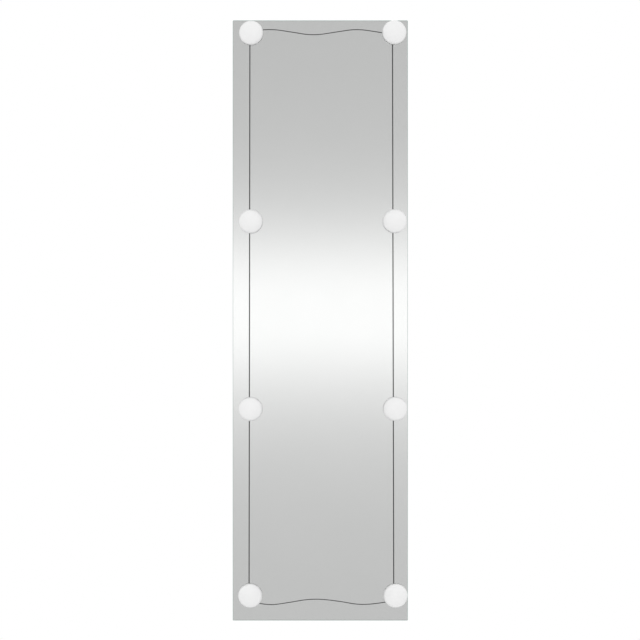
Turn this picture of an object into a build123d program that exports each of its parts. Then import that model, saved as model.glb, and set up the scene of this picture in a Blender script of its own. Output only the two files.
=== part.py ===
from build123d import *
import math
import os

# Lighted wall mirror, in millimetres.
# +Z is up, the mirror faces -Y and the wall is the plane y = 0.
# The origin lies on the wall, midway between the two keyholes that the wall screws enter.

# Mirror sheet
mirror_width = 350.0
mirror_height = 1200.0
glass_thickness = 4.0
arris = 0.6  # polished chamfer along the edges of the glass
corner_radius = 1.5
silver_thickness = 0.1
film_thickness = 0.3
film_inset = 1.0  # from the edge of the silver to the edge of the film

# Hanging
wall_gap = 7.0  # from the back of the film to the wall
keyhole_below_top = 110.0
hanger_spacing = 200.0
plate_side = 60.0
plate_corner = 4.0
plate_thickness = 1.0
tape_thickness = 1.0
tape_margin = 1.0  # from the edge of the tape to the edge of the plate
hat_width = 42.0
hat_height = 44.0
hat_corner = 8.0
hat_slope = 45.0  # degrees, from square to the plate
entry_radius = 5.0
slot_width = 5.0
seat_rise = 11.0  # from the entry hole up to where the screw rests
bumper_radius = 10.0
bumper_chamfer = 1.0
bumper_inset = 45.0  # from the side edge of the mirror
bumper_above_bottom = 60.0

# Lamps, four in each column, with heights measured from the front of the glass
lamps_in_column = 4
left_inset_top = 36.7
left_inset_bottom = 35.0
right_inset_top = 27.2
right_inset_bottom = 24.7
left_margin_top = 25.3
right_margin_top = 24.2
left_margin_bottom = 50.1
right_margin_bottom = 50.0
middle_lamp_drop = 2.0  # the two middle lamps sit this far below even spacing
lamp_radius = 24.0
lamp_height = 24.0
pad_inset = 5.0  # from the edge of the diffuser to the edge of the pad
pad_thickness = 1.0
floor_thickness = 1.2
foot_setback = 0.5  # from the edge of the diffuser to the edge of the foot
foot_chamfer = 0.4
diffuser_wall = 1.9
skirt_height = 6.0  # straight part of the diffuser, above the foot's shoulder
skirt_round = 0.4
dome_shoulder = 8.0  # radius of the turn from the skirt into the face
snap_clearance = 0.15  # between the diffuser's skirt and the rim that it snaps over
rim_wall = 1.8
rim_height = 4.2  # above the shoulder
snap_height = 2.6  # middle of the snap bead, above the shoulder
bead_size = 0.35
bead_rise = 0.4
groove_clearance = 0.15
board_clearance = 2.15  # between the board and the inside of the rim
board_thickness = 1.2
board_above_lead = 1.1  # from the top of a lead standing on edge to the board
post_angles = (50, 160, 320)
post_inset = 3.0  # from the edge of the board to the middle of a post
post_radius = 1.6
stake_radius = 0.9
stake_clearance = 0.15
stake_head_height = 0.6
chip_count = 8
chip_inset = 7.0  # from the edge of the board to the middle of a chip
chip_length = 3.5
chip_width = 2.8
chip_height = 0.7

# Leads: flat twin flex, whose section is a slot
lead_width = 2.0
lead_thickness = 1.0
lead_height = 4.3  # middle of the lead above the glass
port_clearance = 0.15
left_lead_offset = -2.5  # of the pulled leads from the lamp centres, along X
right_lead_offset = -3.4
lead_end_radius = 9.0  # how near the lamp centre a pulled lead ends
cut_margin = 1.0  # by which a cut runs past the piece that it cuts
arc_share = 0.45  # of the shorter run, taken by the arc at each point of a route

# Slack leads: where each end lies from its lamp's centre, and the points between.
# The points are (x, distance below the top edge) and (x, distance above the bottom edge).
top_lead_start = (8.3, 5.3)
top_lead_end = (-6.8, -3.2)
top_lead_points = ((-100.5, 16.6), (-60.0, 22.6), (-14.0, 30.3), (33.0, 22.8), (72.0, 16.9), (110.0, 22.0))
bottom_lead_start = (5.0, -13.3)
bottom_lead_end = (-8.8, -11.4)
bottom_lead_points = (
    (-106.0, 29.8),
    (-70.0, 34.4),
    (-16.0, 44.1),
    (36.0, 38.9),
    (76.0, 31.2),
    (112.0, 33.2),
)

# Solder joints and supply gland
joint_length = 1.6
joint_width = 2.4
gland_offset = -3.0  # from the centre of the bottom right lamp, along X
gland_width = 5.0
gland_bore_radius = 1.1
gland_flange_width = 8.0
gland_flange_depth = 1.4

# Values worked out from the ones above
top_z = keyhole_below_top
bottom_z = top_z - mirror_height
film_back = -wall_gap
silver_back = film_back - film_thickness
glass_back = silver_back - silver_thickness
glass_front = glass_back - glass_thickness
floor_top = pad_thickness + floor_thickness
shoulder = lead_height + lead_width / 2 + port_clearance
foot_radius = lamp_radius - foot_setback
skirt_inner = lamp_radius - diffuser_wall
rim_outer = skirt_inner - snap_clearance
rim_inner = rim_outer - rim_wall
pad_radius = lamp_radius - pad_inset
board_radius = rim_inner - board_clearance
post_circle_radius = board_radius - post_inset
chip_circle_radius = board_radius - chip_inset
board_bottom = lead_height + lead_width / 2 + board_above_lead
board_top = board_bottom + board_thickness
lead_y = glass_front - lead_height


def towards_room(x, y, z):
    """Plane at a point, seen from the room: its X is the object's X and its Y is up."""
    return Plane(origin=(x, y, z), x_dir=(1, 0, 0), z_dir=(0, -1, 0))


def towards_wall(x, y, z):
    """Plane at a point, facing the wall: its X is reversed and its Y is up."""
    return Plane(origin=(x, y, z), x_dir=(-1, 0, 0), z_dir=(0, 1, 0))


def disc(radius, low, high):
    """Round plate about Z, from one height to another."""
    return Pos(0, 0, low) * extrude(Circle(radius), high - low)


def sheet(inset, back, thickness, corner):
    """Layer of the mirror's outline, drawn in by the inset, whose back is at y = back."""
    middle_z = (top_z + bottom_z) / 2
    outline = RectangleRounded(mirror_width - 2 * inset, mirror_height - 2 * inset, corner)
    return extrude(towards_room(0, back, middle_z) * outline, thickness)


def glass_pane():
    """Float glass with its edges polished to a narrow chamfer, front and back."""
    pane = sheet(0, glass_back, glass_thickness, corner_radius)
    faces = pane.faces().sort_by(Axis.Y)
    return chamfer(faces[0].edges() + faces[-1].edges(), arris)


def hanger_plate(x):
    """Pressed steel plate whose raised hat meets the wall and holds the keyhole."""
    slope = math.radians(hat_slope)
    hat_rise = wall_gap - tape_thickness - plate_thickness
    inner_inset = plate_thickness * (1 / math.cos(slope) - math.tan(slope))
    front = towards_wall(x, film_back + tape_thickness, seat_rise / 2)
    rear = towards_wall(x, film_back + tape_thickness + plate_thickness, seat_rise / 2)
    flange = extrude(front * RectangleRounded(plate_side, plate_side, plate_corner), plate_thickness)
    hat_outline = RectangleRounded(hat_width, hat_height, hat_corner)
    hat = extrude(rear * hat_outline, hat_rise, taper=hat_slope)
    hollow_outline = RectangleRounded(
        hat_width - 2 * inner_inset, hat_height - 2 * inner_inset, hat_corner - inner_inset
    )
    hollow = extrude(front * hollow_outline, hat_rise, taper=hat_slope)
    wall = towards_wall(x, 0, 0)
    slot = Pos(0, seat_rise / 2) * Rectangle(slot_width, seat_rise)
    keyhole = Circle(entry_radius) + slot + Pos(0, seat_rise) * Circle(slot_width / 2)
    cut = extrude(wall * keyhole, plate_thickness + cut_margin, both=True)
    return flange + hat - hollow - cut


def hanger_tape(x):
    """Foam tape on the plate's flange, cut out where the hat is hollow."""
    side = plate_side - 2 * tape_margin
    outline = RectangleRounded(side, side, plate_corner)
    outline -= RectangleRounded(hat_width, hat_height, hat_corner)
    return extrude(towards_wall(x, film_back, seat_rise / 2) * outline, tape_thickness)


def wall_bumper(x):
    """Rubber disc that keeps the foot of the mirror off the wall."""
    place = towards_wall(x, film_back, bottom_z + bumper_above_bottom)
    body = extrude(place * Circle(bumper_radius), wall_gap)
    return chamfer(body.faces().sort_by(Axis.Y)[-1].edges(), bumper_chamfer)


def port_cut(start, target, width, bottom):
    """Slot for a lead, from its end in the lamp out through the rim, open at the top."""
    angle = math.degrees(math.atan2(target[1] - start[1], target[0] - start[0]))
    length = 2 * lamp_radius
    top = shoulder + rim_height + cut_margin
    box = Box(length, width, top - bottom, align=(Align.MIN, Align.CENTER, Align.MIN))
    return Pos(start[0], start[1], bottom) * Rot(0, 0, angle) * box


def gland_block(width, reach):
    """Block at the gland's place, as tall as its port, from the lamp's middle down to the reach."""
    height = shoulder - floor_top
    box = Box(width, reach, height, align=(Align.CENTER, Align.MAX, Align.MIN))
    return Pos(gland_offset, 0, floor_top) * box


def lamp_pad():
    """Foam pad that sticks the lamp to the glass."""
    return disc(pad_radius, 0, pad_thickness)


def lamp_base(ports, has_gland):
    """Moulded base: foot, snap rim, and three posts that are staked over the board."""
    foot = disc(foot_radius, pad_thickness, shoulder)
    foot = chamfer(foot.faces().sort_by(Axis.Z)[0].edges(), foot_chamfer)
    rim = disc(rim_outer, shoulder, shoulder + rim_height)
    bead_z = shoulder + snap_height
    bead = Polyline(
        (rim_outer - rim_wall / 2, bead_z - bead_rise),
        (rim_outer, bead_z - bead_rise),
        (rim_outer + bead_size, bead_z),
        (rim_outer, bead_z + bead_rise),
        (rim_outer - rim_wall / 2, bead_z + bead_rise),
        close=True,
    )
    ring = revolve(Plane.XZ * make_face(bead), Axis.Z)
    body = foot + rim + ring - disc(rim_inner, floor_top, shoulder + rim_height)
    for port in ports:
        body -= port_cut(*port)
    if has_gland:
        body -= gland_block(gland_width, lamp_radius)
    for angle in post_angles:
        place = Rot(0, 0, angle) * Pos(post_circle_radius, 0, 0)
        body += place * disc(post_radius, floor_top, board_bottom)
        body += place * disc(stake_radius, board_bottom, board_top)
        body += place * disc(post_radius, board_top, board_top + stake_head_height)
    return body


def lamp_board():
    """Round circuit board with a hole for each staked post."""
    board = disc(board_radius, board_bottom, board_top)
    for angle in post_angles:
        place = Rot(0, 0, angle) * Pos(post_circle_radius, 0, 0)
        board -= place * disc(stake_radius + stake_clearance, board_bottom, board_top)
    return board


def lamp_chips():
    """Ring of light-emitting chips on the board."""
    chip = Box(chip_width, chip_length, chip_height, align=(Align.CENTER, Align.CENTER, Align.MIN))
    step = 360 / chip_count
    spot = Pos(chip_circle_radius, 0, board_top)
    ring = [Rot(0, 0, (i + 0.5) * step) * spot * chip for i in range(chip_count)]
    return Compound(children=ring)


def dome_arcs(offset):
    """Shoulder and cap arcs of the diffuser's profile, drawn in by the offset.

    The shoulder turns from the skirt into a cap whose centre is on the axis. Both arcs are tangent
    where they meet: (R - s)^2 = (r - s)^2 + (R - k)^2, with cap R, shoulder s, lamp r and rise k.
    """
    spring_z = shoulder + skirt_height
    rise = lamp_height - spring_z
    reach = lamp_radius - dome_shoulder
    cap = (reach**2 + rise**2 - dome_shoulder**2) / (2 * (rise - dome_shoulder))
    cap_z = lamp_height - cap
    meet = math.degrees(math.atan2(spring_z - cap_z, reach))
    shoulder_arc = CenterArc((reach, spring_z), dome_shoulder - offset, 0, meet)
    cap_arc = CenterArc((0, cap_z), cap - offset, meet, 90 - meet)
    return [shoulder_arc, cap_arc]


def lamp_diffuser():
    """Domed cover: a straight skirt with a snap groove, a round shoulder and a gently domed face."""
    spring_z = shoulder + skirt_height
    outline = [
        Line((lamp_radius, shoulder), (lamp_radius, spring_z)),
        *dome_arcs(0),
        Line((0, lamp_height), (0, lamp_height - diffuser_wall)),
        *dome_arcs(diffuser_wall),
        Line((skirt_inner, spring_z), (skirt_inner, shoulder)),
        Line((skirt_inner, shoulder), (lamp_radius, shoulder)),
    ]
    groove_z = shoulder + snap_height
    groove_rise = bead_rise + groove_clearance
    groove = Polyline(
        (skirt_inner - snap_clearance, groove_z - groove_rise),
        (skirt_inner, groove_z - groove_rise),
        (skirt_inner + bead_size, groove_z),
        (skirt_inner, groove_z + groove_rise),
        (skirt_inner - snap_clearance, groove_z + groove_rise),
        close=True,
    )
    shell = revolve(Plane.XZ * make_face(outline), Axis.Z)
    shell -= revolve(Plane.XZ * make_face(groove), Axis.Z)
    rim_edge = shell.edges().filter_by(GeomType.CIRCLE).group_by(Axis.Z)[0].sort_by(SortBy.RADIUS)[-1]
    return fillet(rim_edge, skirt_round)


def lamp_centres():
    """Centre of each lamp as {(side, number): (x, z)}, numbered from the top."""
    columns = {
        "left": (-1, left_inset_top, left_inset_bottom, left_margin_top, left_margin_bottom),
        "right": (1, right_inset_top, right_inset_bottom, right_margin_top, right_margin_bottom),
    }
    centres = {}
    for side, (sign, inset_top, inset_bottom, margin_top, margin_bottom) in columns.items():
        high = top_z - margin_top
        low = bottom_z + margin_bottom
        for i in range(lamps_in_column):
            share = i / (lamps_in_column - 1)
            inset = inset_top + share * (inset_bottom - inset_top)
            drop = middle_lamp_drop if 0 < i < lamps_in_column - 1 else 0
            centres[side, i + 1] = (sign * (mirror_width / 2 - inset), high + share * (low - high) - drop)
    return centres


def lead_routes(centres):
    """Points of each lead as {name: [(x, z), ...]}, and which lamps its ends are in."""
    routes = {}
    for side, offset in (("left", left_lead_offset), ("right", right_lead_offset)):
        for i in range(1, lamps_in_column):
            upper = centres[side, i]
            lower = centres[side, i + 1]
            start = (upper[0] + offset, upper[1] - lead_end_radius)
            end = (lower[0] + offset, lower[1] + lead_end_radius)
            routes[f"lead_{side}_{i}"] = ([start, end], (side, i), (side, i + 1))
    slack = (
        ("lead_top", 1, top_lead_start, top_lead_end, [(x, top_z - d) for x, d in top_lead_points]),
        (
            "lead_bottom",
            lamps_in_column,
            bottom_lead_start,
            bottom_lead_end,
            [(x, bottom_z + d) for x, d in bottom_lead_points],
        ),
    )
    for name, row, start, end, between in slack:
        left = centres["left", row]
        right = centres["right", row]
        first = (left[0] + start[0], left[1] + start[1])
        last = (right[0] + end[0], right[1] + end[1])
        routes[name] = ([first, *between, last], ("left", row), ("right", row))
    return routes


def corner_radii(points):
    """Arc at each inner point: a share of the shorter run over the tangent of half the turn."""
    radii = []
    for a, b, c in zip(points, points[1:], points[2:]):
        before = Vector(b) - Vector(a)
        after = Vector(c) - Vector(b)
        turn = math.radians(before.get_angle(after))
        radii.append(arc_share * min(before.length, after.length) / math.tan(turn / 2))
    return radii


def lead(points):
    """Flat twin lead along its route: a pulled one lies flat, and a slack one stands on edge."""
    is_slack = len(points) > 2
    room = towards_room(0, lead_y, 0)
    if is_slack:
        radii = corner_radii(points)
        path = room * FilletPolyline(*points, radius=radii)
        print("  radii", [round(r) for r in radii])
    else:
        path = room * Line(*points)
    across = (0, 1, 0) if is_slack else (1, 0, 0)
    section = Plane(origin=path @ 0, x_dir=across, z_dir=path % 0) * SlotOverall(lead_width, lead_thickness)
    solid = sweep(section, path=path)
    expected = section.area * path.length
    print(f"  length {path.length:.1f}, volume {solid.volume:.1f}, section x length {expected:.1f}")
    return solid


def port(centre, points, is_slack):
    """Arguments of the slot that a lead needs in the lamp that holds its first point."""
    start = (points[0][0] - centre[0], points[0][1] - centre[1])
    target = (points[1][0] - centre[0], points[1][1] - centre[1])
    plan_width = lead_thickness if is_slack else lead_width
    depth = lead_width if is_slack else lead_thickness
    return start, target, plan_width + 2 * port_clearance, lead_height - depth / 2 - port_clearance


def solder_joint(points):
    """Solder between the end of a lead at its first point and the board over it."""
    angle = math.degrees(math.atan2(points[0][1] - points[1][1], points[0][0] - points[1][0]))
    low = lead_height - lead_width / 2
    block = Box(joint_length, joint_width, board_bottom - low, align=(Align.MIN, Align.CENTER, Align.MIN))
    return towards_room(points[0][0], glass_front, points[0][1]) * Pos(0, 0, low) * Rot(0, 0, angle) * block


def power_gland():
    """Rubber gland in the rim of the bottom right lamp, with a flange inside the rim."""
    flange_reach = rim_inner - port_clearance
    plug = gland_block(gland_width, lamp_radius) & disc(foot_radius, floor_top, shoulder)
    flange = gland_block(gland_flange_width, lamp_radius) & disc(flange_reach, floor_top, shoulder)
    hollow = gland_block(gland_flange_width, flange_reach - gland_flange_depth)
    mouth = Pos(gland_offset, -lamp_radius, (floor_top + shoulder) / 2)
    bore = mouth * Rot(90, 0, 0) * Cylinder(gland_bore_radius, lamp_radius)
    return plug + flange - hollow - bore


def build():
    """Every piece, as {node name: shape}."""
    nodes = {
        "glass_pane": glass_pane(),
        "silver_coating": sheet(arris, silver_back, silver_thickness, corner_radius),
        "safety_backing": sheet(arris + film_inset, film_back, film_thickness, corner_radius),
    }
    bumper_x = mirror_width / 2 - bumper_inset
    for side, sign in (("left", -1), ("right", 1)):
        nodes[f"hanger_plate_{side}"] = hanger_plate(sign * hanger_spacing / 2)
        nodes[f"hanger_tape_{side}"] = hanger_tape(sign * hanger_spacing / 2)
        nodes[f"wall_bumper_{side}"] = wall_bumper(sign * bumper_x)

    centres = lamp_centres()
    ports = {lamp: [] for lamp in centres}
    joints = []
    for name, (points, first_lamp, last_lamp) in lead_routes(centres).items():
        print(name)
        nodes[name] = lead(points)
        is_slack = len(points) > 2
        backwards = points[::-1]
        ports[first_lamp].append(port(centres[first_lamp], points, is_slack))
        ports[last_lamp].append(port(centres[last_lamp], backwards, is_slack))
        joints += [solder_joint(points), solder_joint(backwards)]
    nodes["solder_joints"] = Compound(children=joints)

    supply_lamp = ("right", lamps_in_column)
    for lamp, (x, z) in centres.items():
        place = towards_room(x, glass_front, z)
        label = f"lamp_{lamp[0]}_{lamp[1]}"
        nodes[f"{label}_pad"] = place * lamp_pad()
        nodes[f"{label}_base"] = place * lamp_base(ports[lamp], lamp == supply_lamp)
        nodes[f"{label}_board"] = place * lamp_board()
        nodes[f"{label}_chips"] = place * lamp_chips()
        nodes[f"{label}_diffuser"] = place * lamp_diffuser()
    x, z = centres[supply_lamp]
    nodes["power_gland"] = towards_room(x, glass_front, z) * power_gland()
    return nodes


os.makedirs("parts", exist_ok=True)
for name, shape in build().items():
    export_step(shape, f"parts/{name}.step")
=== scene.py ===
"""Lighted wall mirror: finishes, leads, diffusers and a pale studio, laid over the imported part."""

import math

import bpy
import numpy as np
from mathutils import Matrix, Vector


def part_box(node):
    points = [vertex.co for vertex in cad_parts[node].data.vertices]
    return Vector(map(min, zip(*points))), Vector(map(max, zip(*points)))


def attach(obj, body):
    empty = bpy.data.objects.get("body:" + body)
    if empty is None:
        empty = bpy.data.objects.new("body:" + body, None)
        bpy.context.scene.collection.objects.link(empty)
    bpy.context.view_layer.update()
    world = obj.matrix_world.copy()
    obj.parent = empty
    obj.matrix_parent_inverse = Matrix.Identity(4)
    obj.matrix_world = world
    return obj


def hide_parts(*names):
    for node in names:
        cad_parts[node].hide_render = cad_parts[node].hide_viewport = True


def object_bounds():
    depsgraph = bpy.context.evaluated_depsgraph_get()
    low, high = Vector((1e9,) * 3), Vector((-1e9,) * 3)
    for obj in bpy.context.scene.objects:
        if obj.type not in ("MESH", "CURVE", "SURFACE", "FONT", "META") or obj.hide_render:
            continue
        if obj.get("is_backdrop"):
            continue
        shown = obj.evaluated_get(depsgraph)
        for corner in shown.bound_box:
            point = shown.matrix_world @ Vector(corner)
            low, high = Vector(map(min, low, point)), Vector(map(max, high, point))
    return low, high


bl_info = {
    "name": "Lighted wall mirror",
    "version": (1, 0, 0),
    "blender": (4, 5, 0),
    "location": "3D View > Sidebar > Mirror",
    "description": "Dresses a tall frameless mirror with eight puck lamps on a loop of flat lead",
    "category": "Object",
}

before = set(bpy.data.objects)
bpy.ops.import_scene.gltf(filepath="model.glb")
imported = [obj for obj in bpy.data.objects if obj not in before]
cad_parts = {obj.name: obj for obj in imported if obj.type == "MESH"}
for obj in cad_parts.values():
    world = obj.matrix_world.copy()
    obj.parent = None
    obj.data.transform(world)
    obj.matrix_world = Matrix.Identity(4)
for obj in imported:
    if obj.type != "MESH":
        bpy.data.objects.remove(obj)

BODY = "root"
LEAD_PLANE = -0.0157  # y of the leads' middle, in front of the glass
GLASS_FRONT = -0.0114  # y of the glass's front face
MIDDLE = (-0.0006, -0.4891)  # x and z of the point that the camera faces

# Middles of the lamps, as x and z, from the top of each column down.
LAMPS = {
    "left": ((-0.1383, 0.0847), (-0.138867, -0.292167), (-0.139433, -0.667033), (-0.1400, -1.0399)),
    "right": ((0.1478, 0.0858), (0.148633, -0.291467), (0.149467, -0.666733), (0.1503, -1.0400)),
}

# Points that each lead follows, as x and z, from solder joint to solder joint.
SIDE_LEADS = {
    "lead_left_1": ((-0.1408, 0.0757), (-0.141367, -0.283167)),
    "lead_left_2": ((-0.141367, -0.301167), (-0.141933, -0.658033)),
    "lead_left_3": ((-0.141933, -0.676033), (-0.1425, -1.0309)),
    "lead_right_1": ((0.1444, 0.0768), (0.145233, -0.282467)),
    "lead_right_2": ((0.145233, -0.300467), (0.146067, -0.657733)),
    "lead_right_3": ((0.146067, -0.675733), (0.1469, -1.0310)),
}
WAVE_LEADS = {
    "lead_top": (
        (-0.1300, 0.0900), (-0.1005, 0.0934), (-0.0600, 0.0874), (-0.0140, 0.0797),
        (0.0330, 0.0872), (0.0720, 0.0931), (0.1100, 0.0880), (0.1410, 0.0826),
    ),
    "lead_bottom": (
        (-0.1350, -1.0532), (-0.1060, -1.0602), (-0.0700, -1.0556), (-0.0160, -1.0459),
        (0.0360, -1.0511), (0.0760, -1.0588), (0.1120, -1.0568), (0.1415, -1.0514),
    ),
}

# What shiny faces reflect of the room: the upward part of the direction against brightness.
ROOM = (
    (-1.0, 0.66), (-0.35, 0.64), (-0.15, 0.526), (0.15, 0.526), (0.35, 0.74), (0.6, 1.05),
    (1.0, 1.1),
)
BAND_FALL = {"above": 3.0, "below": 2.2}  # powers by which the band of light fades
FILL_TILT = 0.05  # by which the even light is brighter straight above and darker straight below

SENSOR_WIDTH = 36.0  # of the camera, in millimetres
FAR_CLIP = 100.0
SOFTBOXES = (("softbox_high", 2.2, 45), ("softbox_low", -1.6, 115))  # name, height, tilt in degrees
SOFTBOX_SIZE = (2.4, 1.4)
SOFTBOX_REACH = 2.4  # in front of the wall
FLOOR_RADII = (0.05, 3.0)  # first and last ring
FLOOR_GRID = (24, 96)  # rings and points round each
FLOOR_FADE = (1.6, 2.8)  # radii between which the floor turns clear

SMOOTH_BELOW = math.radians(35)  # edges that turn by less are shaded smooth
LEAD_SMOOTH_BELOW = math.radians(50)
LEAD_FINENESS = 16  # points of the line for each control point
LEAD_STEPS = 56  # points round a lead
LAMP_STEPS = 144  # points round a diffuser
CORNER_STEPS = 10  # points round each corner of the glass
DOME_STEPS = 26
SHOULDER_STEPS = 20
INNER_DOME_STEPS = 20
INNER_SHOULDER_STEPS = 16
LIP_STEPS = 6

GLASS_IOR = 1.52


# Meshes


def facing_rings(rows, columns):
    """Quads between neighbouring rings of a closed tube of rows x columns points."""
    start = np.arange(rows - 1)[:, None] * columns
    here = np.arange(columns)[None, :]
    after = (here + 1) % columns
    above = start + columns
    quads = np.stack([start + here, start + after, above + after, above + here], -1)
    return quads.reshape(-1, 4)


def fan(tip, ring):
    """Triangles from one point to a ring of points, in the ring's order."""
    return np.stack([np.full(len(ring), tip), ring, np.roll(ring, -1)], -1)


def put_mesh(name, points, faces, finish, crease=SMOOTH_BELOW, around=None):
    """A piece at the origin with its place in its mesh, smooth but for edges sharper than crease.

    around gives each point's place along and round the piece, for its UV map.
    """
    mesh = bpy.data.meshes.new(name)
    mesh.from_pydata(points.tolist(), [], faces)
    if around is not None:
        corners = np.empty(len(mesh.loops), dtype=np.int32)
        mesh.loops.foreach_get("vertex_index", corners)
        chart = mesh.uv_layers.new(name="Run")
        chart.data.foreach_set("uv", around[corners].astype(np.float32).ravel())
    mesh.shade_smooth()
    mesh.set_sharp_from_angle(angle=crease)
    mesh.materials.append(finish)
    piece = bpy.data.objects.new(name, mesh)
    bpy.context.scene.collection.objects.link(piece)
    return piece


def spun(name, profile, middle, finish):
    """A turned shell in front of the glass.

    The profile's points are (radius, height above the glass), from pole to pole. Each is carried
    round the lamp's axis: x = middle + radius cos t, z = middle + radius sin t, y = glass - height.
    """
    turn = np.linspace(0, 2 * np.pi, LAMP_STEPS, endpoint=False)
    radius = profile[1:-1, 0][:, None]
    height = profile[1:-1, 1][:, None]
    rings = np.stack(
        [
            middle[0] + radius * np.cos(turn),
            np.broadcast_to(GLASS_FRONT - height, (len(radius), LAMP_STEPS)),
            middle[1] + radius * np.sin(turn),
        ],
        -1,
    ).reshape(-1, 3)
    poles = [(middle[0], GLASS_FRONT - h, middle[1]) for h in profile[[0, -1], 1]]
    points = np.concatenate([rings, poles])
    first = np.arange(LAMP_STEPS)
    last = first + (len(radius) - 1) * LAMP_STEPS
    faces = facing_rings(len(radius), LAMP_STEPS)[:, ::-1].tolist()
    faces += fan(len(rings), first).tolist()
    faces += fan(len(rings) + 1, last)[:, ::-1].tolist()
    return put_mesh(name, points, faces, finish)


def glass_sheet(name, low, high, settings, faces_finish, edge_finish):
    """A flat sheet with rounded corners and a narrow bevel, or arris, round both faces.

    The outline has one quarter arc per corner: middle + side (span / 2 - corner) + corner (cos t,
    sin t), where side is the corner's own pair of signs. It is drawn four times through the
    thickness, narrowed by the arris at the two faces. The back face stops short by the gap.
    """
    corner, arris = settings.corner, settings.arris
    span = np.array((high.x - low.x, high.z - low.z))
    middle = np.array((high.x + low.x, high.z + low.z)) / 2
    turn = (np.arange(4)[:, None] + np.linspace(0, 1, CORNER_STEPS)).ravel() * np.pi / 2
    quarter = np.repeat(np.arange(4) * np.pi / 2 + np.pi / 4, CORNER_STEPS)
    side = np.sign(np.stack([np.cos(quarter), np.sin(quarter)], -1))
    outward = np.stack([np.cos(turn), np.sin(turn)], -1)
    core = middle + side * (span / 2 - corner)
    back = high.y - settings.gap
    levels = ((low.y, arris), (low.y + arris, 0), (high.y - arris, 0), (back, arris))
    rings = [np.insert(core + outward * (corner - inset), 1, y, axis=1) for y, inset in levels]
    count = len(core)
    ring = np.arange(count)
    faces = facing_rings(len(rings), count).tolist()
    faces += [ring.tolist(), (ring[::-1] + count * (len(rings) - 1)).tolist()]
    piece = put_mesh(name, np.concatenate(rings), faces, edge_finish)
    piece.data.materials.append(faces_finish)
    slots = np.zeros(len(faces), dtype=np.int32)
    slots[-2:] = 1
    piece.data.polygons.foreach_set("material_index", slots)
    return piece


def arc(middle, radius, start, end, steps):
    """Points of an arc: middle + radius (cos t, sin t) for t from start to end in equal steps."""
    t = np.linspace(start, end, steps)
    return np.stack([middle[0] + radius * np.cos(t), middle[1] + radius * np.sin(t)], -1)


def nurbs_line(name, points):
    """Points of the smooth line that a NURBS spline of order 3 takes past its control points."""
    curve = bpy.data.curves.new(name, "CURVE")
    curve.dimensions = "3D"
    spline = curve.splines.new("NURBS")
    spline.points.add(len(points) - 1)
    spline.points.foreach_set("co", np.c_[points, np.ones(len(points))].astype(np.float32).ravel())
    spline.order_u = 3
    spline.use_endpoint_u = True
    spline.resolution_u = LEAD_FINENESS
    carrier = bpy.data.objects.new(name, curve)
    line = bpy.data.meshes.new_from_object(carrier)
    found = np.empty(len(line.vertices) * 3, dtype=np.float32)
    line.vertices.foreach_get("co", found)
    bpy.data.objects.remove(carrier)
    bpy.data.curves.remove(curve)
    bpy.data.meshes.remove(line)
    return found.reshape(-1, 3).astype(float)


def twin_section(width, thickness, web):
    """Section of a twin lead: two round cores side by side with a thin web between them.

    Across, a = width/2 cos t. Each core's half height there is sqrt(r^2 - (|a| - (width/2 - r))^2),
    with r half the thickness, and between the cores' middles it is never less than half the web.
    """
    t = np.linspace(0, 2 * np.pi, LEAD_STEPS, endpoint=False)
    across = width / 2 * np.cos(t)
    core = thickness / 2
    reach = width / 2 - core
    half = np.sqrt(np.clip(core**2 - (np.abs(across) - reach) ** 2, 0, None))
    half = np.where(np.abs(across) < reach, np.maximum(half, web / 2), half)
    return np.stack([across, half * np.sign(np.sin(t))], -1)


def swept(name, line, section, finish):
    """A closed tube: the section carried along the line.

    At each point of the line, the first axis of the section is the line's direction crossed with
    the glass's normal, and the second is the normal, so the section never twists.
    """
    ahead = np.gradient(line, axis=0)
    ahead /= np.linalg.norm(ahead, axis=1)[:, None]
    normal = np.array([0.0, 1.0, 0.0])
    side = np.cross(ahead, normal)
    side /= np.linalg.norm(side, axis=1)[:, None]
    rings = line[:, None] + section[None, :, :1] * side[:, None] + section[None, :, 1:] * normal
    rows, columns = rings.shape[:2]
    points = np.concatenate([rings.reshape(-1, 3), line[[0, -1]]])
    run = np.r_[0, np.cumsum(np.linalg.norm(np.diff(line, axis=0), axis=1))]
    spread = np.linspace(0, 1, columns)
    along, round_it = np.meshgrid(run, spread, indexing="ij")
    around = np.concatenate(
        [np.stack([along, round_it], -1).reshape(-1, 2), [(0, 0.5), (run[-1], 0.5)]]
    )
    first = np.arange(columns)
    last = first + (rows - 1) * columns
    tips = rows * columns
    faces = facing_rings(rows, columns).tolist()
    faces += fan(tips, first)[:, ::-1].tolist()
    faces += fan(tips + 1, last).tolist()
    return put_mesh(name, points, faces, finish, LEAD_SMOOTH_BELOW, around)


# Finishes

OPAL = {"Subsurface_Weight": 0.12, "Subsurface_Radius": (1, 1, 1), "Subsurface_Scale": 0.002}


def feed(tree, value, socket):
    """Links a socket to another one, or gives it a plain value."""
    if hasattr(value, "is_output"):
        tree.links.new(value, socket)
    else:
        socket.default_value = value


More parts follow.
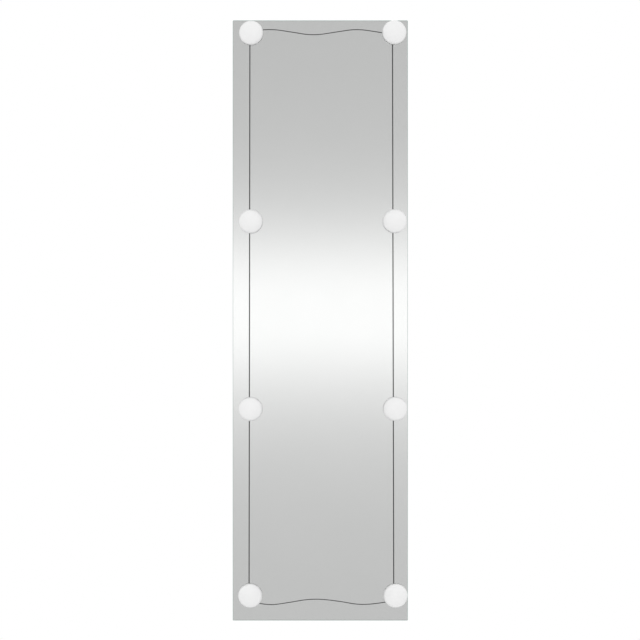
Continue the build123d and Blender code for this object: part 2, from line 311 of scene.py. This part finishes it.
class Finish:
    """A node finish in the making: one Principled shader and the patterns that feed it."""

    def __init__(self, name, **fixed):
        self.material = bpy.data.materials.new(name)
        self.material.use_nodes = True
        self.tree = self.material.node_tree
        self.shader = self.tree.nodes["Principled BSDF"]
        self.output = self.tree.nodes["Material Output"]
        self.place = None
        for socket, value in fixed.items():
            self.shader.inputs[socket.replace("_", " ")].default_value = value

    def add(self, kind, **settings):
        """A new node with its settings."""
        node = self.tree.nodes.new(kind)
        for setting, value in settings.items():
            setattr(node, setting, value)
        return node

    def link(self, start, end):
        """Feeds one socket to another."""
        self.tree.links.new(start, end)

    def spot(self, stretch=(1, 1, 1), output="Object"):
        """Where a point is on the piece, with each axis scaled by stretch."""
        if self.place is None:
            self.place = self.add("ShaderNodeTexCoord")
        mapping = self.add("ShaderNodeMapping")
        mapping.inputs["Scale"].default_value = stretch
        self.link(self.place.outputs[output], mapping.inputs["Vector"])
        return mapping.outputs["Vector"]

    def noise(self, scale, detail=3.0, stretch=(1, 1, 1), output="Object"):
        """Soft random variation, scale features to the metre."""
        node = self.add("ShaderNodeTexNoise")
        node.inputs["Scale"].default_value = scale
        node.inputs["Detail"].default_value = detail
        self.link(self.spot(stretch, output), node.inputs["Vector"])
        return node.outputs["Fac"]

    def cells(self, scale, output="Distance"):
        """Random cells, scale of them to the metre."""
        node = self.add("ShaderNodeTexVoronoi")
        node.inputs["Scale"].default_value = scale
        self.link(self.spot(), node.inputs["Vector"])
        return node.outputs[output]

    def graded(self, value, low=0.0, high=1.0, start=0.3, end=0.7):
        """The value from start to end turned into low to high."""
        node = self.add("ShaderNodeMapRange")
        node.inputs["From Min"].default_value = start
        node.inputs["From Max"].default_value = end
        node.inputs["To Min"].default_value = low
        node.inputs["To Max"].default_value = high
        self.link(value, node.inputs["Value"])
        return node.outputs["Result"]

    def blend(self, share, first, second):
        """A colour between first and second; each is a colour or a socket."""
        node = self.add("ShaderNodeMix", data_type="RGBA")
        self.link(share, node.inputs["Factor"])
        for socket, colour in ((node.inputs[6], first), (node.inputs[7], second)):
            feed(self.tree, colour if hasattr(colour, "is_output") else (*colour, 1), socket)
        return node.outputs[2]

    def colour(self, socket):
        """Feeds the shader's colour."""
        self.link(socket, self.shader.inputs["Base Color"])

    def roughness(self, value, low, high):
        """Varies the roughness from low to high with a value."""
        self.link(self.graded(value, low, high), self.shader.inputs["Roughness"])

    def relief(self, value, height, strength=1.0):
        """Raises the surface by up to height metres with a value, on top of any earlier relief."""
        node = self.add("ShaderNodeBump")
        node.inputs["Distance"].default_value = height
        node.inputs["Strength"].default_value = strength
        self.link(value, node.inputs["Height"])
        before = self.shader.inputs["Normal"]
        if before.is_linked:
            self.link(before.links[0].from_socket, node.inputs["Normal"])
        self.link(node.outputs["Normal"], before)

    def facing(self, axis):
        """How far a face points along or against an axis, from 0 to 1."""
        geometry = self.add("ShaderNodeNewGeometry")
        split = self.add("ShaderNodeSeparateXYZ")
        self.link(geometry.outputs["Normal"], split.inputs["Vector"])
        size = self.add("ShaderNodeMath", operation="ABSOLUTE")
        self.link(split.outputs[axis], size.inputs[0])
        return size.outputs[0]


def glass_finish():
    """Clear float glass that turns green through its depth."""
    made = Finish(
        "glass", Base_Color=(1, 1, 1, 1), Transmission_Weight=1.0, IOR=GLASS_IOR, Roughness=0.0
    )
    depth = made.add("ShaderNodeVolumeAbsorption")
    depth.inputs["Color"].default_value = (0.0, 0.70, 0.55, 1)
    depth.inputs["Density"].default_value = 5.0
    made.link(depth.outputs["Volume"], made.output.inputs["Volume"])
    return made.material


def glass_edge_finish(deep, pale):
    """Ground and polished glass edge: satin green, with fine grinding lines along it."""
    made = Finish("glass_edge", IOR=GLASS_IOR, Coat_Weight=0.4, Coat_Roughness=0.08)
    grinding = made.noise(700, 3, (1, 6, 1))
    made.colour(made.blend(made.graded(made.noise(26, 4)), deep, pale))
    made.roughness(grinding, 0.18, 0.34)
    made.relief(grinding, 0.00002, 0.5)
    return made.material


def silver_finish():
    """Silver coating seen through the glass, a little warm, with the faintest unevenness."""
    made = Finish("silver", Metallic=1.0, Roughness=0.0)
    cloud = made.graded(made.noise(9))
    made.colour(made.blend(cloud, (0.975, 0.958, 0.955), (0.985, 0.966, 0.964)))
    return made.material


def film_finish():
    """Grey protective paint under a clear safety film: orange peel, a faint lay and dust."""
    made = Finish("backing_film", Coat_Weight=0.35, Coat_Roughness=0.22)
    cloud = made.noise(14, 4)
    peel = made.noise(420, 2)
    lay = made.noise(260, 2, (1, 1, 0.02))
    tone = made.blend(made.graded(cloud), (0.33, 0.36, 0.375), (0.39, 0.415, 0.43))
    made.colour(made.blend(made.graded(lay, 0, 0.35), tone, (0.45, 0.47, 0.48)))
    made.roughness(peel, 0.42, 0.58)
    made.relief(peel, 0.00012, 0.5)
    made.relief(lay, 0.00008, 0.35)
    return made.material


def zinc_finish():
    """Zinc-plated steel sheet: rolled lines, crystal spangle and a soft metal sheen."""
    made = Finish("zinc_steel", Metallic=1.0)
    spangle = made.cells(210, "Color")
    rolled = made.noise(1500, 3, (0.03, 1, 1))
    flower = made.graded(spangle, start=0.0, end=1.0)
    tone = made.blend(flower, (0.60, 0.62, 0.64), (0.78, 0.79, 0.80))
    made.colour(made.blend(made.graded(rolled, 0, 0.4), tone, (0.86, 0.86, 0.85)))
    made.roughness(spangle, 0.24, 0.40)
    made.relief(rolled, 0.00003, 0.6)
    return made.material


def foam_finish():
    """Closed-cell foam tape: pale, matt and full of tiny cells."""
    made = Finish("foam_tape", Specular_IOR_Level=0.3)
    cells = made.cells(2600)
    wall = made.graded(cells, start=0.1, end=0.6)
    made.colour(made.blend(wall, (0.52, 0.52, 0.50), (0.74, 0.73, 0.70)))
    made.roughness(cells, 0.75, 0.95)
    made.relief(cells, 0.00015, 0.7)
    return made.material


def rubber_finish(name, deep, worn):
    """Moulded rubber: near black, with a fine grain and paler rubbed patches spread at random."""
    made = Finish(name, Specular_IOR_Level=0.35)
    grain = made.noise(2400, 3)
    cloud = made.noise(120, 3)
    made.colour(made.blend(made.graded(cloud), deep, worn))
    made.roughness(grain, 0.48, 0.66)
    made.relief(grain, 0.00005, 0.6)
    return made.material


def plastic_finish():
    """White moulded plastic with the fine sparked grain of its tool."""
    made = Finish("lamp_base", IOR=1.5, **OPAL)
    grain = made.noise(3200, 2)
    cloud = made.graded(made.noise(60))
    made.colour(made.blend(cloud, (0.76, 0.76, 0.755), (0.80, 0.80, 0.79)))
    made.roughness(grain, 0.38, 0.52)
    made.relief(grain, 0.00003, 0.5)
    return made.material


def board_finish():
    """White solder mask over copper: faint raised tracks and a glossy skin."""
    made = Finish("circuit_board", Coat_Weight=0.3, Coat_Roughness=0.15)
    tracks = made.cells(170)
    raised = made.graded(tracks, start=0.28, end=0.34)
    made.colour(made.blend(raised, (0.66, 0.69, 0.66), (0.78, 0.79, 0.76)))
    made.roughness(tracks, 0.28, 0.36)
    made.relief(raised, 0.00003, 0.8)
    return made.material


def chip_finish():
    """Light chips: a yellow phosphor window on a white ceramic body."""
    made = Finish("light_chips")
    window = made.graded(made.facing("Y"), start=0.6, end=0.9)
    grain = made.noise(5200)
    phosphor = made.blend(made.graded(grain), (0.80, 0.52, 0.05), (0.90, 0.64, 0.10))
    made.colour(made.blend(window, (0.75, 0.74, 0.70), phosphor))
    made.roughness(grain, 0.40, 0.60)
    return made.material


def diffuser_finish(colour, glow):
    """Opal plastic: white, faintly translucent, with a satin frost."""
    made = Finish("diffuser", IOR=1.46, Emission_Strength=glow, **OPAL)
    made.shader.inputs["Emission Color"].default_value = (1.0, 0.97, 0.92, 1)
    frost = made.noise(2600, 3)
    shade = tuple(0.985 * part for part in colour)
    made.colour(made.blend(made.graded(made.noise(45)), shade, colour))
    made.roughness(frost, 0.42, 0.52)
    made.relief(frost, 0.00002, 0.35)
    return made.material


def lead_finish(colour):
    """Dark grey flexible plastic, with the faint lines that extrusion leaves along it."""
    made = Finish("lead", IOR=1.5)
    lines = made.noise(24, 3, (4, 1, 1), "UV")
    pale = tuple(1.7 * part for part in colour)
    made.colour(made.blend(made.graded(lines), colour, pale))
    made.roughness(lines, 0.40, 0.55)
    made.relief(lines, 0.00002, 0.5)
    return made.material


def solder_finish():
    """Tin solder: bright, slightly frosted domes."""
    made = Finish("solder", Metallic=1.0)
    frost = made.noise(2200, 3)
    made.colour(made.blend(made.graded(frost), (0.66, 0.66, 0.65), (0.80, 0.80, 0.78)))
    made.roughness(frost, 0.18, 0.36)
    made.relief(frost, 0.00003, 0.6)
    return made.material


def floor_finish(pale):
    """Pale studio floor, faintly mottled, that fades into the backdrop round its rim."""
    made = Finish("studio_floor", Roughness=0.85, Specular_IOR_Level=0.2)
    shade = tuple(0.97 * part for part in pale)
    made.colour(made.blend(made.graded(made.noise(3)), shade, pale))
    reach = made.add("ShaderNodeVectorMath", operation="LENGTH")
    made.link(made.spot((1, 1, 0)), reach.inputs[0])
    clear = made.add("ShaderNodeBsdfTransparent")
    join = made.add("ShaderNodeMixShader")
    made.link(made.graded(reach.outputs["Value"], 0.0, 1.0, *FLOOR_FADE), join.inputs["Fac"])
    made.link(made.shader.outputs["BSDF"], join.inputs[1])
    made.link(clear.outputs["BSDF"], join.inputs[2])
    made.link(join.outputs["Shader"], made.output.inputs["Surface"])
    return made.material


def dress(starts, ends, finish):
    """Gives every CAD node with that start and end of name one finish."""
    found = [
        node for name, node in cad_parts.items()
        if name.startswith(starts) and name.endswith(ends)
    ]
    if not found:
        raise RuntimeError(f"no node is named {starts}...{ends}")
    for node in found:
        for slot in node.material_slots:
            slot.material = finish


# Settings


class StageSettings(bpy.types.PropertyGroup):
    """Camera, light and floor."""

    distance: bpy.props.FloatProperty(
        name="Camera distance", description="From the camera to the glass",
        default=12.0, min=2.0, max=30.0, unit="LENGTH",
    )
    view_width: bpy.props.FloatProperty(
        name="View width", description="Width that the picture covers at the glass",
        default=1.28, min=0.2, max=5.0, unit="LENGTH",
    )
    floor_height: bpy.props.FloatProperty(
        name="Floor height", description="Height of the studio floor",
        default=-1.84, min=-4.0, max=-1.1, unit="LENGTH",
    )
    floor_colour: bpy.props.FloatVectorProperty(
        name="Floor colour", description="Colour of the studio floor",
        default=(0.86, 0.86, 0.86), min=0.0, max=1.0, subtype="COLOR",
    )
    backdrop: bpy.props.FloatProperty(
        name="Backdrop", description="Brightness of the plain backdrop",
        default=1.0, min=0.0, max=2.0,
    )
    band: bpy.props.FloatProperty(
        name="Band", description="Brightness that the band of light adds at its middle",
        default=0.516, min=0.0, max=3.0,
    )
    band_below: bpy.props.FloatProperty(
        name="Band below",
        description="Height on the glass from the band's middle down to half of it",
        default=0.166, min=0.01, max=2.0, unit="LENGTH",
    )
    band_above: bpy.props.FloatProperty(
        name="Band above",
        description="Height on the glass from the band's middle up to half of it",
        default=0.186, min=0.01, max=2.0, unit="LENGTH",
    )
    fill: bpy.props.FloatProperty(
        name="Fill light", description="Brightness of the even light from all round",
        default=0.915, min=0.0, max=3.0,
    )
    softbox: bpy.props.FloatProperty(
        name="Softboxes", description="Power of each softbox", default=9.0, min=0.0, max=500.0,
        unit="POWER",
    )


class LeadSettings(bpy.types.PropertyGroup):
    """The flat twin lead."""

    width: bpy.props.FloatProperty(
        name="Width", description="Across both cores",
        default=0.002, min=0.001, max=0.004, unit="LENGTH",
    )
    thickness: bpy.props.FloatProperty(
        name="Thickness", description="Through one core",
        default=0.001, min=0.0005, max=0.002, unit="LENGTH",
    )
    web: bpy.props.FloatProperty(
        name="Web", description="Thickness between the cores",
        default=0.0005, min=0.0001, max=0.001,
        unit="LENGTH",
    )
    colour: bpy.props.FloatVectorProperty(
        name="Colour", description="Colour of the insulation", default=(0.030, 0.030, 0.031),
        min=0.0, max=1.0, subtype="COLOR",
    )


class LampSettings(bpy.types.PropertyGroup):
    """The lamps' diffusers."""

    radius: bpy.props.FloatProperty(
        name="Radius", description="Outside radius of the skirt",
        default=0.024, min=0.015, max=0.04,
        unit="LENGTH",
    )
    height: bpy.props.FloatProperty(
        name="Height", description="Top of the dome above the glass",
        default=0.024, min=0.015, max=0.04,
        unit="LENGTH",
    )
    skirt_start: bpy.props.FloatProperty(
        name="Skirt start", description="Lower edge of the skirt above the glass", default=0.00545,
        min=0.002, max=0.01, unit="LENGTH",
    )
    skirt_height: bpy.props.FloatProperty(
        name="Skirt height", description="Straight part of the skirt",
        default=0.006, min=0.001, max=0.012,
        unit="LENGTH",
    )
    shoulder: bpy.props.FloatProperty(
        name="Shoulder", description="Radius between skirt and dome",
        default=0.008, min=0.002, max=0.012,
        unit="LENGTH",
    )
    wall: bpy.props.FloatProperty(
        name="Wall", description="Thickness of the diffuser", default=0.0019, min=0.001, max=0.004,
        unit="LENGTH",
    )
    lip: bpy.props.FloatProperty(
        name="Lip", description="Rounding of the skirt's lower edge",
        default=0.0004, min=0.0001, max=0.0009,
        unit="LENGTH",
    )
    colour: bpy.props.FloatVectorProperty(
        name="Colour", description="Colour of the opal plastic", default=(0.86, 0.86, 0.86),
        min=0.0, max=1.0, subtype="COLOR",
    )
    glow: bpy.props.FloatProperty(
        name="Glow", description="Light given off, none with the lamps off",
        default=0.0, min=0.0, max=20.0,
    )


class GlassSettings(bpy.types.PropertyGroup):
    """The sheet of glass."""

    corner: bpy.props.FloatProperty(
        name="Corner", description="Radius of the corners", default=0.0015, min=0.001, max=0.01,
        unit="LENGTH",
    )
    arris: bpy.props.FloatProperty(
        name="Arris", description="Width of the bevel round both faces", default=0.0006, min=0.0001,
        max=0.0009, unit="LENGTH",
    )
    gap: bpy.props.FloatProperty(
        name="Gap", description="From the glass to the silver, so that light meets each in turn",
        default=0.00004, min=0.00001, max=0.0001, unit="LENGTH",
    )
    edge_deep: bpy.props.FloatVectorProperty(
        name="Edge, deep", description="Darker green of the ground edge",
        default=(0.20, 0.33, 0.29),
        min=0.0, max=1.0, subtype="COLOR",
    )
    edge_pale: bpy.props.FloatVectorProperty(
        name="Edge, pale", description="Paler green of the ground edge", default=(0.31, 0.45, 0.40),
        min=0.0, max=1.0, subtype="COLOR",
    )


class BackSettings(bpy.types.PropertyGroup):
    """The rubber on the back of the mirror and in the lamp's rim."""

    rubber: bpy.props.FloatVectorProperty(
        name="Rubber", description="Colour of the rubber", default=(0.030, 0.030, 0.031),
        min=0.0, max=1.0, subtype="COLOR",
    )
    rubbed: bpy.props.FloatVectorProperty(
        name="Rubbed", description="Colour where the rubber is paler",
        default=(0.060, 0.060, 0.062),
        min=0.0, max=1.0, subtype="COLOR",
    )


# Operators


class MIRROR_OT_stage(bpy.types.Operator):
    """Sets up the camera, the studio light and the pale floor."""

    bl_idname = "mirror.stage"
    bl_label = "Set the stage"

    def execute(self, context):
        settings = context.scene.mirror_stage
        self.point_camera(context, settings)
        self.paint_world(context, settings)
        self.hang_softboxes(context, settings)
        self.lay_floor(settings)
        return {"FINISHED"}

    def point_camera(self, context, settings):
        """Square on to the glass, with a long lens whose picture is view_width wide there."""
        lens = bpy.data.cameras.new("camera")
        lens.sensor_width = SENSOR_WIDTH
        lens.lens = lens.sensor_width * settings.distance / settings.view_width
        lens.clip_end = FAR_CLIP
        camera = bpy.data.objects.new("camera", lens)
        camera.location = (MIDDLE[0], GLASS_FRONT - settings.distance, MIDDLE[1])
        camera.rotation_euler = (math.pi / 2, 0, 0)
        context.scene.collection.objects.link(camera)
        context.scene.camera = camera
        context.scene.view_settings.view_transform = "Standard"

    def paint_world(self, context, settings):
        """Plain backdrop for the camera, even light for matt faces, bright band for shiny ones."""
        world = bpy.data.worlds.new("studio")
        context.scene.world = world
        world.use_nodes = True
        # Sampled world light would count as neither a camera ray nor one that met a matt face.
        world.cycles.sampling_method = "NONE"
        tree = world.node_tree
        place = tree.nodes.new("ShaderNodeTexCoord")
        split = tree.nodes.new("ShaderNodeSeparateXYZ")
        tree.links.new(place.outputs["Generated"], split.inputs["Vector"])
        up = split.outputs["Z"]
        level = self.maths(tree, "ADD", self.ramp(tree, up, ROOM), self.band(tree, up, settings))
        even = ((-1.0, (1 - FILL_TILT) * settings.fill), (1.0, (1 + FILL_TILT) * settings.fill))
        matt = self.ramp(tree, up, even)
        rays = tree.nodes.new("ShaderNodeLightPath")
        seen = (settings.backdrop,) * 3 + (1,)
        first = self.choose(tree, rays.outputs["Diffuse Depth"], level, matt)
        second = self.choose(tree, rays.outputs["Is Camera Ray"], first, seen)
        tree.links.new(second, tree.nodes["Background"].inputs["Color"])

    def band(self, tree, up, settings):
        """Level band of light: its brightness is b / (1 + (d / w)^p), where d is the height on the
        glass at which the camera sees it. Above its middle and below it, it has its own width w and
        power p."""
        height = self.maths(tree, "MULTIPLY", up, settings.distance)
        drop = self.maths(tree, "MULTIPLY", height, -1.0)
        fall = 1.0
        for way, side, width in (
            (height, "above", settings.band_above), (drop, "below", settings.band_below),
        ):
            share = self.maths(tree, "DIVIDE", self.maths(tree, "MAXIMUM", way, 0.0), width)
            fall = self.maths(tree, "ADD", self.maths(tree, "POWER", share, BAND_FALL[side]), fall)
        return self.maths(tree, "DIVIDE", settings.band, fall)

    def maths(self, tree, operation, first, second):
        """The result of an operation on two values, each a socket or a plain number."""
        node = tree.nodes.new("ShaderNodeMath")
        node.operation = operation
        for socket, value in zip(node.inputs, (first, second)):
            feed(tree, value, socket)
        return node.outputs["Value"]

    def ramp(self, tree, up, stops):
        """Brightness against the upward part of the direction, straight between the stops."""
        rise = tree.nodes.new("ShaderNodeMapRange")
        rise.inputs["From Min"].default_value = -1
        tree.links.new(up, rise.inputs["Value"])
        node = tree.nodes.new("ShaderNodeValToRGB")
        tree.links.new(rise.outputs["Result"], node.inputs["Fac"])
        while len(node.color_ramp.elements) < len(stops):
            node.color_ramp.elements.new(0.5)
        for element, (part, level) in zip(node.color_ramp.elements, stops):
            element.position = (part + 1) / 2
            element.color = (level, level, level, 1)
        return node.outputs["Color"]

    def choose(self, tree, share, first, second):
        """A colour mixed from first to second by share."""
        node = tree.nodes.new("ShaderNodeMix")
        node.data_type = "RGBA"
        tree.links.new(share, node.inputs["Factor"])
        feed(tree, first, node.inputs[6])
        feed(tree, second, node.inputs[7])
        return node.outputs[2]

    def hang_softboxes(self, context, settings):
        """Two large soft area lights in front of the mirror, one high and one low."""
        for name, height, tilt in SOFTBOXES:
            lamp = bpy.data.lights.new(name, "AREA")
            lamp.shape = "RECTANGLE"
            lamp.size, lamp.size_y = SOFTBOX_SIZE
            lamp.energy = settings.softbox
            softbox = bpy.data.objects.new(name, lamp)
            softbox.location = (0.0, -SOFTBOX_REACH, height)
            softbox.rotation_euler = (math.radians(tilt), 0, 0)
            softbox.visible_glossy = False
            softbox.visible_camera = False
            softbox.visible_transmission = False
            context.scene.collection.objects.link(softbox)

    def lay_floor(self, settings):
        """A flat disc on a polar grid: x = r cos t, y = r sin t."""
        rows, columns = FLOOR_GRID
        radius = np.linspace(*FLOOR_RADII, rows)
        turn = np.linspace(0, 2 * np.pi, columns, endpoint=False)
        rings = np.stack(
            [
                radius[:, None] * np.cos(turn),
                radius[:, None] * np.sin(turn),
                np.full(FLOOR_GRID, settings.floor_height),
            ],
            -1,
        ).reshape(-1, 3)
        points = np.concatenate([rings, [(0, 0, settings.floor_height)]])
        faces = facing_rings(rows, columns)[:, ::-1].tolist()
        faces += fan(len(rings), np.arange(columns)).tolist()
        put_mesh("studio_floor", points, faces, floor_finish(settings.floor_colour))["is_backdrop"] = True


class MIRROR_OT_leads(bpy.types.Operator):
    """Lays the eight stretches of flat twin lead from lamp to lamp."""

    bl_idname = "mirror.leads"
    bl_label = "Lay the leads"

    def execute(self, context):
        settings = context.scene.mirror_leads
        finish = lead_finish(settings.colour)
        flat = twin_section(settings.width, settings.thickness, settings.web)
        on_edge = flat[:, ::-1] * (-1, 1)
        for name, points in SIDE_LEADS.items():
            self.lay(name, points, flat, finish, settings.width, "taut")
        for name, points in WAVE_LEADS.items():
            self.lay(name, points, on_edge, finish, settings.width, "loose")
        return {"FINISHED"}

    def lay(self, name, points, section, finish, width, lay):
        """One stretch, from the solder joint in one lamp to the solder joint in the next."""
        control = np.array([(x, LEAD_PLANE, z) for x, z in points])
        line = nurbs_line(name, control)
        if len(line) < 2:
            raise RuntimeError(f"{name} has no line to follow")
        piece = swept(name + "_flex", line, section, finish)
        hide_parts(name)
        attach(piece, BODY)


class MIRROR_OT_diffusers(bpy.types.Operator):
    """Turns the eight opal diffusers."""

    bl_idname = "mirror.diffusers"
    bl_label = "Turn the diffusers"

    def execute(self, context):
        settings = context.scene.mirror_lamps
        finish = diffuser_finish(tuple(settings.colour), settings.glow)
        profile = self.profile(settings)
        for side, column in LAMPS.items():
            for number, middle in enumerate(column, 1):
                piece = spun(f"diffuser_{side}_{number}", profile, middle, finish)
                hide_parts(f"lamp_{side}_{number}_diffuser")
                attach(piece, BODY)
        return {"FINISHED"}

    def profile(self, s):
        """Half section of the shell from the top pole outside to the top pole inside.

        The dome is an arc of radius R about the axis that meets the shoulder's arc smoothly:
        (R - shoulder)^2 = (radius - shoulder)^2 + (R - rise)^2, where rise is the dome's top
        above the shoulder's middle. The inside is the same curve, one wall further in.
        """
        bend = s.radius - s.shoulder
        level = s.skirt_start + s.skirt_height
        rise = s.height - level
        dome = (bend**2 + rise**2 - s.shoulder**2) / (2 * (rise - s.shoulder))
        middle = (0.0, s.height - dome)
        meet = math.atan2(level - middle[1], bend)
        outer = [
            arc(middle, dome, math.pi / 2, meet, DOME_STEPS),
            arc((bend, level), s.shoulder, meet, 0, SHOULDER_STEPS)[1:],
        ]
        low = s.skirt_start + s.lip
        foot = [
            arc((s.radius - s.lip, low), s.lip, 0, -math.pi / 2, LIP_STEPS),
            arc((s.radius - s.wall + s.lip, low), s.lip, -math.pi / 2, -math.pi, LIP_STEPS),
        ]
        inner = [
            arc((bend, level), s.shoulder - s.wall, 0, meet, INNER_SHOULDER_STEPS),
            arc(middle, dome - s.wall, meet, math.pi / 2, INNER_DOME_STEPS)[1:],
        ]
        shell = np.concatenate(outer + foot + inner)
        shell[[0, -1], 0] = 0.0
        return shell


class MIRROR_OT_lamp_bases(bpy.types.Operator):
    """Finishes what carries the diffusers: pads, bases, boards, chips, solder and the gland."""

    bl_idname = "mirror.lamp_bases"
    bl_label = "Finish the lamp bases"

    def execute(self, context):
        back = context.scene.mirror_back
        dress("lamp_", "_pad", foam_finish())
        dress("lamp_", "_base", plastic_finish())
        dress("lamp_", "_board", board_finish())
        dress("lamp_", "_chips", chip_finish())
        dress("solder", "joints", solder_finish())
        dress("power", "gland", rubber_finish("gland_rubber", back.rubber, back.rubbed))
        return {"FINISHED"}


class MIRROR_OT_glass(bpy.types.Operator):
    """Finishes the glass, its silver and the film on its back."""

    bl_idname = "mirror.glass"
    bl_label = "Silver the glass"

    def execute(self, context):
        settings = context.scene.mirror_glass
        low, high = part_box("glass_pane")
        edge = glass_edge_finish(settings.edge_deep, settings.edge_pale)
        sheet = glass_sheet("glass_sheet", low, high, settings, glass_finish(), edge)
        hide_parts("glass_pane")
        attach(sheet, BODY)
        dress("silver", "coating", silver_finish())
        dress("safety", "backing", film_finish())
        return {"FINISHED"}


class MIRROR_OT_fixings(bpy.types.Operator):
    """Finishes the hanger plates, their tape and the wall bumpers."""

    bl_idname = "mirror.fixings"
    bl_label = "Finish the fixings"

    def execute(self, context):
        back = context.scene.mirror_back
        dress("hanger_plate", "", zinc_finish())
        dress("hanger_tape", "", foam_finish())
        dress("wall_bumper", "", rubber_finish("bumper_rubber", back.rubber, back.rubbed))
        return {"FINISHED"}


class MIRROR_PT_panel(bpy.types.Panel):
    """Lists the steps and their settings."""

    bl_idname = "MIRROR_PT_panel"
    bl_label = "Lighted wall mirror"
    bl_space_type = "VIEW_3D"
    bl_region_type = "UI"
    bl_category = "Mirror"

    def draw(self, context):
        scene = context.scene
        groups = (
            (scene.mirror_stage, ("mirror.stage",)),
            (scene.mirror_leads, ("mirror.leads",)),
            (scene.mirror_lamps, ("mirror.diffusers", "mirror.lamp_bases")),
            (scene.mirror_glass, ("mirror.glass",)),
            (scene.mirror_back, ("mirror.fixings",)),
        )
        for settings, steps in groups:
            box = self.layout.box()
            for name in settings.__annotations__:
                box.prop(settings, name)
            for step in steps:
                box.operator(step)


CLASSES = (
    StageSettings, LeadSettings, LampSettings, GlassSettings, BackSettings,
    MIRROR_OT_stage, MIRROR_OT_leads, MIRROR_OT_diffusers, MIRROR_OT_lamp_bases,
    MIRROR_OT_glass, MIRROR_OT_fixings, MIRROR_PT_panel,
)
GROUPS = {
    "mirror_stage": StageSettings, "mirror_leads": LeadSettings,
    "mirror_lamps": LampSettings, "mirror_glass": GlassSettings, "mirror_back": BackSettings,
}


def register():
    """Adds the classes and the scene's settings."""
    for kind in CLASSES:
        bpy.utils.register_class(kind)
    for name, kind in GROUPS.items():
        setattr(bpy.types.Scene, name, bpy.props.PointerProperty(type=kind))


def unregister():
    """Takes them away again."""
    for name in GROUPS:
        delattr(bpy.types.Scene, name)
    for kind in reversed(CLASSES):
        bpy.utils.unregister_class(kind)


def corners():
    """The shown object's lowest and highest corner as plain lists."""
    return [[float(part) for part in corner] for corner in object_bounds()]


def main():
    """Runs every step in order."""
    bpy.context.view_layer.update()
    register()
    bpy.ops.mirror.stage()
    bpy.ops.mirror.leads()
    bpy.ops.mirror.diffusers()
    bpy.ops.mirror.lamp_bases()
    bpy.ops.mirror.glass()
    bpy.ops.mirror.fixings()


if __name__ == "__main__":
    main()
